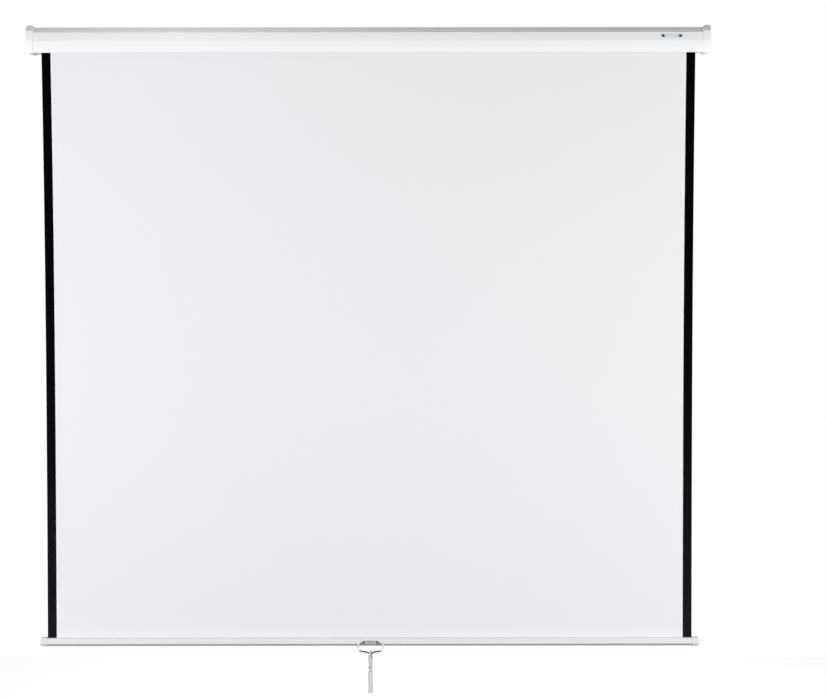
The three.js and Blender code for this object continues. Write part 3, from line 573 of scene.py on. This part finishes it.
looks = {
    "case_white": painted_look(),
    "bar_paint_shaded": bar_look(),
    "moulded_white": moulded_look("moulded_plastic", srgb(248, 249, 249)),
    # painted shade: the bar caps take the end caps' moulded white, made greyer
    "bar_cap_shaded": moulded_look("moulded_bar_cap_shaded", srgb(229, 230, 231)),
    "screen_cloth": cloth_look(
        "screen_cloth", srgb(236, 238, 242), 0.82, 0.006, 0.2, upper_right_shade=srgb(236, 236, 236)
    ),
    "mask_cloth": cloth_look("mask_cloth", srgb(4, 4, 5), 0.78, 0.15, 0.01, dust_and_reflection=srgb(38, 38, 42)),
    "cloth_back": cloth_look("cloth_back", srgb(36, 36, 38), 0.74, 0.25, 0.1, dust_and_reflection=srgb(62, 62, 64)),
    "zinc_steel": zinc_look(),
    "plain_steel": brushed_look("drawn_steel", srgb(168, 172, 176), 0.34, 1.0),
    "nylon": plain_look("nylon", srgb(232, 230, 220), 0.5, 700),
    "plate_aluminium": brushed_look("satin_aluminium", srgb(206, 209, 213), 0.4, 0.7),
    "black_plastic": plain_look("black_plastic", srgb(40, 41, 44), 0.42, 900),
    "dark_metal": dark_look(),
    "bright_wire": wire_look(),
    "braided_cord": cord_look(),
    "floor": floor_look(),
}


# Meshes


def mesh_object(name, places, faces, smooth=False):
    mesh = bpy.data.meshes.new(name)
    mesh.from_pydata([tuple(place) for place in places], [], faces)
    mesh.validate()
    made = bpy.data.objects.new(name, mesh)
    scene.collection.objects.link(made)
    if smooth:
        mesh.shade_smooth()
    return made


def take_place(piece, body, slot, node):
    """The piece rides on the body, takes the slot's finish and stands for the CAD node."""
    if not piece.data.materials:
        piece.data.materials.append(looks[slot])
    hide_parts(node)
    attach(piece, body)


def dressed(node, body, slot, edge, look=None):
    """A copy of a CAD node with its flat faces merged, its edges rounded and its curves smooth."""
    source = frame["nodes"][node].data
    places = [corner.co for corner in source.vertices]
    faces = [tuple(face.vertices) for face in source.polygons]
    piece = mesh_object(f"{node}_finish", places, faces)
    cleaned = bmesh.new()
    cleaned.from_mesh(piece.data)
    bmesh.ops.remove_doubles(cleaned, verts=cleaned.verts, dist=SAME_POINT)
    bmesh.ops.dissolve_limit(
        cleaned, angle_limit=SAME_FACE, verts=cleaned.verts, edges=cleaned.edges, delimit={"NORMAL"}
    )
    cleaned.to_mesh(piece.data)
    cleaned.free()
    if look:
        piece.data.materials.append(looks[look])
    piece.data.shade_smooth()
    piece.data.set_sharp_from_angle(angle=SHARP_EDGE)
    bevel = piece.modifiers.new("edges", "BEVEL")
    bevel.width = edge
    bevel.segments = EDGE_STEPS
    bevel.limit_method = "ANGLE"
    bevel.angle_limit = SHARP_EDGE
    bevel.harden_normals = True
    bevel.use_clamp_overlap = True
    take_place(piece, body, slot, node)


def centripetal(points, steps_between):
    """Points along the source's own curve, a centripetal Catmull-Rom spline."""
    points = [Vector(point) for point in points]
    ends = [2 * points[0] - points[1], *points, 2 * points[-1] - points[-2]]
    line = []
    for p0, p1, p2, p3 in zip(ends, ends[1:], ends[2:], ends[3:]):
        t0, t1, t2 = ((b - a).length ** 0.5 for a, b in ((p0, p1), (p1, p2), (p2, p3)))
        leave = ((p1 - p0) / t0 - (p2 - p0) / (t0 + t1) + (p2 - p1) / t1) * t1
        arrive = ((p2 - p1) / t1 - (p3 - p1) / (t1 + t2) + (p3 - p2) / t2) * t1
        for step in range(steps_between):
            t = step / steps_between
            a, b = 2 * t**3 - 3 * t**2 + 1, t**3 - 2 * t**2 + t
            c, d = 3 * t**2 - 2 * t**3, t**3 - t**2
            line.append(a * p1 + b * leave + c * p2 + d * arrive)
    line.append(points[-1])
    return line


def swept(name, line, radius, sides):
    """A closed tube along a line, with its UV once round across, and in metres along."""
    tangents = [(b - a).normalized() for a, b in zip([line[0], *line], [*line[1:], line[-1]])]
    outward = tangents[0].orthogonal().normalized()
    places, lengths, gone = [], [], 0.0
    for i, (point, tangent) in enumerate(zip(line, tangents)):
        if i:
            outward = tangents[i - 1].rotation_difference(tangent) @ outward
            gone += (point - line[i - 1]).length
        outward = (outward - tangent * outward.dot(tangent)).normalized()
        beside = tangent.cross(outward)
        lengths.append(gone)
        for side in range(sides):
            angle = math.tau * side / sides
            places.append(point + radius * (math.cos(angle) * outward + math.sin(angle) * beside))
    faces, spots = [], []
    for ring in range(len(line) - 1):
        for side in range(sides):
            after = (side + 1) % sides
            low, high = ring * sides, (ring + 1) * sides
            faces.append((low + side, low + after, high + after, high + side))
            u, v = side / sides, (side + 1) / sides
            spots += [(u, lengths[ring]), (v, lengths[ring]), (v, lengths[ring + 1]), (u, lengths[ring + 1])]
    last = (len(line) - 1) * sides
    faces.append(tuple(reversed(range(sides))))
    faces.append(tuple(range(last, last + sides)))
    spots += [(0.0, 0.0)] * sides + [(0.0, gone)] * sides
    piece = mesh_object(name, places, faces, smooth=True)
    layer = piece.data.uv_layers.new(name="laid")
    for corner, spot in zip(layer.data, spots):
        corner.uv = spot
    piece.data.set_sharp_from_angle(angle=TUBE_SHARP_EDGE)
    return piece


def joint(name):
    return next(each for each in frame["joints"] if each["name"] == name)


# Case


def add_case():
    dressed("case_shell", "case", "case_white", EXTRUDED_EDGE)
    for side in ("left", "right"):
        dressed(f"end_cap_{side}", "case", "moulded_white", CAP_EDGE)
        dressed(f"bearing_plate_{side}", "case", "zinc_steel", FINE_EDGE)
        dressed(f"plate_rivet_{side}", "case", "black_plastic", FINE_EDGE)
        for number in (1, 2, 3):
            dressed(f"cap_screw_{number}_{side}", "case", "zinc_steel", SMALL_EDGE)
    dressed("name_plate", "case", "plate_aluminium", FINE_EDGE)
    dressed("idle_bush", "case", "nylon", FINE_EDGE)
    dressed("ratchet_spindle", "case", "zinc_steel", FINE_EDGE)
    dressed("arbor_rod", "case", "plain_steel", FINE_EDGE)


# Roller


def add_roller():
    dressed("roller_tube", "roller", "plain_steel", FINE_EDGE)
    dressed("ferrule", "roller", "nylon", SMALL_EDGE)
    dressed("idle_plug", "roller", "nylon", SMALL_EDGE)
    dressed("gudgeon_pin", "roller", "plain_steel", FINE_EDGE)
    dressed("spring_plug", "roller", "nylon", SMALL_EDGE)
    dressed("pawl_pin", "roller", "plain_steel", FINE_EDGE)
    dressed("pawl", "pawl", "zinc_steel", SMALL_EDGE)
    add_roller_spring()
    add_wound_cloth()


def roller_axis():
    low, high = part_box("roller_tube")
    return (low.y + high.y) / 2, (low.z + high.z) / 2


def add_roller_spring():
    low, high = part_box("roller_spring")
    y, z = roller_axis()
    steps = SPRING_TURNS * SPRING_STEPS_PER_TURN
    start, end = high.x - SPRING_WIRE / 2, low.x + SPRING_WIRE / 2
    line = []
    for step in range(steps + 1):
        angle = math.tau * step / SPRING_STEPS_PER_TURN
        x = start + (end - start) * step / steps
        line.append(Vector((x, y + SPRING_RADIUS * math.cos(angle), z + SPRING_RADIUS * math.sin(angle))))
    spring = swept("roller_spring_finish", line, SPRING_WIRE / 2, SPRING_SIDES)
    take_place(spring, "case", "plain_steel", "roller_spring")


def add_wound_cloth():
    """The cloth that stays on the roller: it leaves at the front and winds up and over, inwards."""
    y, z = roller_axis()
    sheet_low, sheet_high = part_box("screen_sheet")
    start_radius = y - (sheet_low.y + sheet_high.y) / 2
    steps = int(TURNS_ON_ROLLER * ROLL_STEPS_PER_TURN)
    mask_edge = CLOTH_HALF_WIDTH - MASK_WIDTH
    columns = (-CLOTH_HALF_WIDTH, -mask_edge, mask_edge, CLOTH_HALF_WIDTH)
    places, faces, tones = [], [], []
    for side in (1, -1):
        for step in range(steps + 1):
            share = step / steps
            angle = math.pi - math.tau * TURNS_ON_ROLLER * share
            radius = start_radius - TURNS_ON_ROLLER * TURN_PITCH * share
            edge = radius + side * CLOTH_THICKNESS / 2
            for x in columns:
                places.append((x, y + edge * math.cos(angle), z + edge * math.sin(angle)))
    count = len(columns)
    inside = count * (steps + 1)
    for step in range(steps):
        for column in range(count - 1):
            a = step * count + column
            b = a + count
            faces.append((a, b, b + 1, a + 1))
            tones.append(0 if column == 1 else 1)
            faces.append((inside + a, inside + a + 1, inside + b + 1, inside + b))
            tones.append(1)
    for step in range(steps):
        for column in (0, count - 1):
            a = step * count + column
            b = a + count
            rim = (a, inside + a, inside + b, b)
            faces.append(rim if column == 0 else (a, b, inside + b, inside + a))
            tones.append(1)
    for step in (0, steps):
        for column in range(count - 1):
            a = step * count + column
            end = (a, a + 1, inside + a + 1, inside + a)
            faces.append(end if step == 0 else (a, inside + a, inside + a + 1, a + 1))
            tones.append(1)
    roll = mesh_object("wound_cloth", places, faces, smooth=True)
    roll.data.materials.append(looks["screen_cloth"])
    roll.data.materials.append(looks["mask_cloth"])
    for face, tone in zip(roll.data.polygons, tones):
        face.material_index = tone
    roll.data.set_sharp_from_angle(angle=CLOTH_SHARP_EDGE)
    take_place(roll, "roller", "screen_cloth", "wound_fabric")


# Hanging cloth


def drawn_in(x, share_down):
    """How far the cloth's edges draw in on the way down, spread evenly across its width."""
    pull = math.sin(math.pi * share_down**WAIST_SKEW)
    waist = WAIST_LEFT if x < 0 else WAIST_RIGHT
    return x * (1 - waist * pull / CLOTH_HALF_WIDTH)


def ripple(x, share_down):
    """Shallow waves down the cloth, strongest near its edges and still at the roller and the bar."""
    still = math.sin(math.pi * share_down) ** 1.5
    near_edge = (abs(x) / CLOTH_HALF_WIDTH) ** 2
    wave = 0.0
    for share, crossing, lean, start in RIPPLE_WAVES:
        wave += share * math.sin(crossing * x + lean * share_down + start)
    return RIPPLE * still * (RIPPLE_IN_MIDDLE + near_edge) * wave


def add_cloth_panel(name, node, slot, left, right, columns):
    """One width of the hanging cloth, front and black back."""
    low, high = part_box(node)
    middle = (low.y + high.y) / 2
    drop = high.z - low.z
    places, faces, backs = [], [], []
    for side in (-1, 1):
        for row in range(CLOTH_ROWS + 1):
            share = row / CLOTH_ROWS
            for column in range(columns + 1):
                x = left + (right - left) * column / columns
                y = middle + side * CLOTH_THICKNESS / 2 + ripple(x, share)
                places.append((drawn_in(x, share), y, high.z - drop * share))
    across = columns + 1
    behind = across * (CLOTH_ROWS + 1)
    for row in range(CLOTH_ROWS):
        for column in range(columns):
            a = row * across + column
            b = a + across
            faces.append((a, b, b + 1, a + 1))
            backs.append(0)
            faces.append((behind + a, behind + a + 1, behind + b + 1, behind + b))
            backs.append(1)
    for row in range(CLOTH_ROWS):
        a, b = row * across, (row + 1) * across
        faces.append((a, behind + a, behind + b, b))
        a, b = a + columns, b + columns
        faces.append((a, b, behind + b, behind + a))
        backs += [0, 0]
    for column in range(columns):
        a = column
        faces.append((a, a + 1, behind + a + 1, behind + a))
        a = CLOTH_ROWS * across + column
        faces.append((a, behind + a, behind + a + 1, a + 1))
        backs += [0, 0]
    panel = mesh_object(name, places, faces, smooth=True)
    panel.data.materials.append(looks[slot])
    panel.data.materials.append(looks["cloth_back"])
    for face, back in zip(panel.data.polygons, backs):
        face.material_index = back
    panel.data.set_sharp_from_angle(angle=CLOTH_SHARP_EDGE)
    take_place(panel, "case", slot, node)
    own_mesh(panel)


def add_hanging_cloth():
    mask_edge = CLOTH_HALF_WIDTH - MASK_WIDTH
    add_cloth_panel("screen_face", "screen_sheet", "screen_cloth", -mask_edge, mask_edge, CLOTH_COLUMNS)
    add_cloth_panel("left_band", "mask_band_left", "mask_cloth", -CLOTH_HALF_WIDTH, -mask_edge, BAND_COLUMNS)
    add_cloth_panel("right_band", "mask_band_right", "mask_cloth", mask_edge, CLOTH_HALF_WIDTH, BAND_COLUMNS)


# Bottom bar, handle and cord


def add_bar():
    dressed("bar_tube", "bottom_bar", "case_white", EXTRUDED_EDGE, look="bar_paint_shaded")
    dressed("hem_rod", "bottom_bar", "plain_steel", FINE_EDGE)
    for side in ("left", "right"):
        dressed(f"bar_cap_{side}", "bottom_bar", "moulded_white", BAR_CAP_EDGE, look="bar_cap_shaded")
        dressed(f"saddle_rivet_{side}", "bottom_bar", "plain_steel", FINE_EDGE)
    dressed("handle_saddle", "bottom_bar", "dark_metal", PRESSED_EDGE)


def add_bail():
    pivot = Vector(joint("bail_swing")["pos_m"])
    right = [Vector((x, 0, -drop)) for x, drop in BAIL_HALF]
    left = [Vector((-point.x, 0, point.z)) for point in reversed(right)]
    points = [pivot + point for point in [*right, Vector((0, 0, -BAIL_DIP)), *left]]
    line = centripetal(points, BAIL_STEPS)
    bail = swept("bail_finish", line, BAIL_WIRE / 2, TUBE_SIDES)
    take_place(bail, "bail", "bright_wire", "bail")


def add_cords():
    low = Vector(joint("bail_swing")["pos_m"]) - Vector((0, 0, BAIL_DIP))
    for name, leg in (("front", FRONT_LEG), ("back", BACK_LEG)):
        line = centripetal([low + Vector(point) for point in leg], CORD_STEPS)
        cord = swept(f"cord_{name}", line, CORD_DIAMETER / 2, TUBE_SIDES)
        take_place(cord, "pull_cord", "braided_cord", f"pull_cord_{name}")


add_camera()
add_world()
add_lamp("left", mirrored(SIDE_PLACE), mirrored(SIDE_AIM), SIDE_SIZE, LEFT_SHARE)
add_lamp("right", SIDE_PLACE, SIDE_AIM, SIDE_SIZE, RIGHT_SHARE)
add_lamp("top", TOP_PLACE, TOP_AIM, TOP_SIZE, TOP_SHARE)
add_lamp("back", BACK_PLACE, BACK_AIM, BACK_SIZE, BACK_SHARE)
add_floor()
add_cords()
add_bail()
add_bar()
add_hanging_cloth()
add_roller()
add_case()
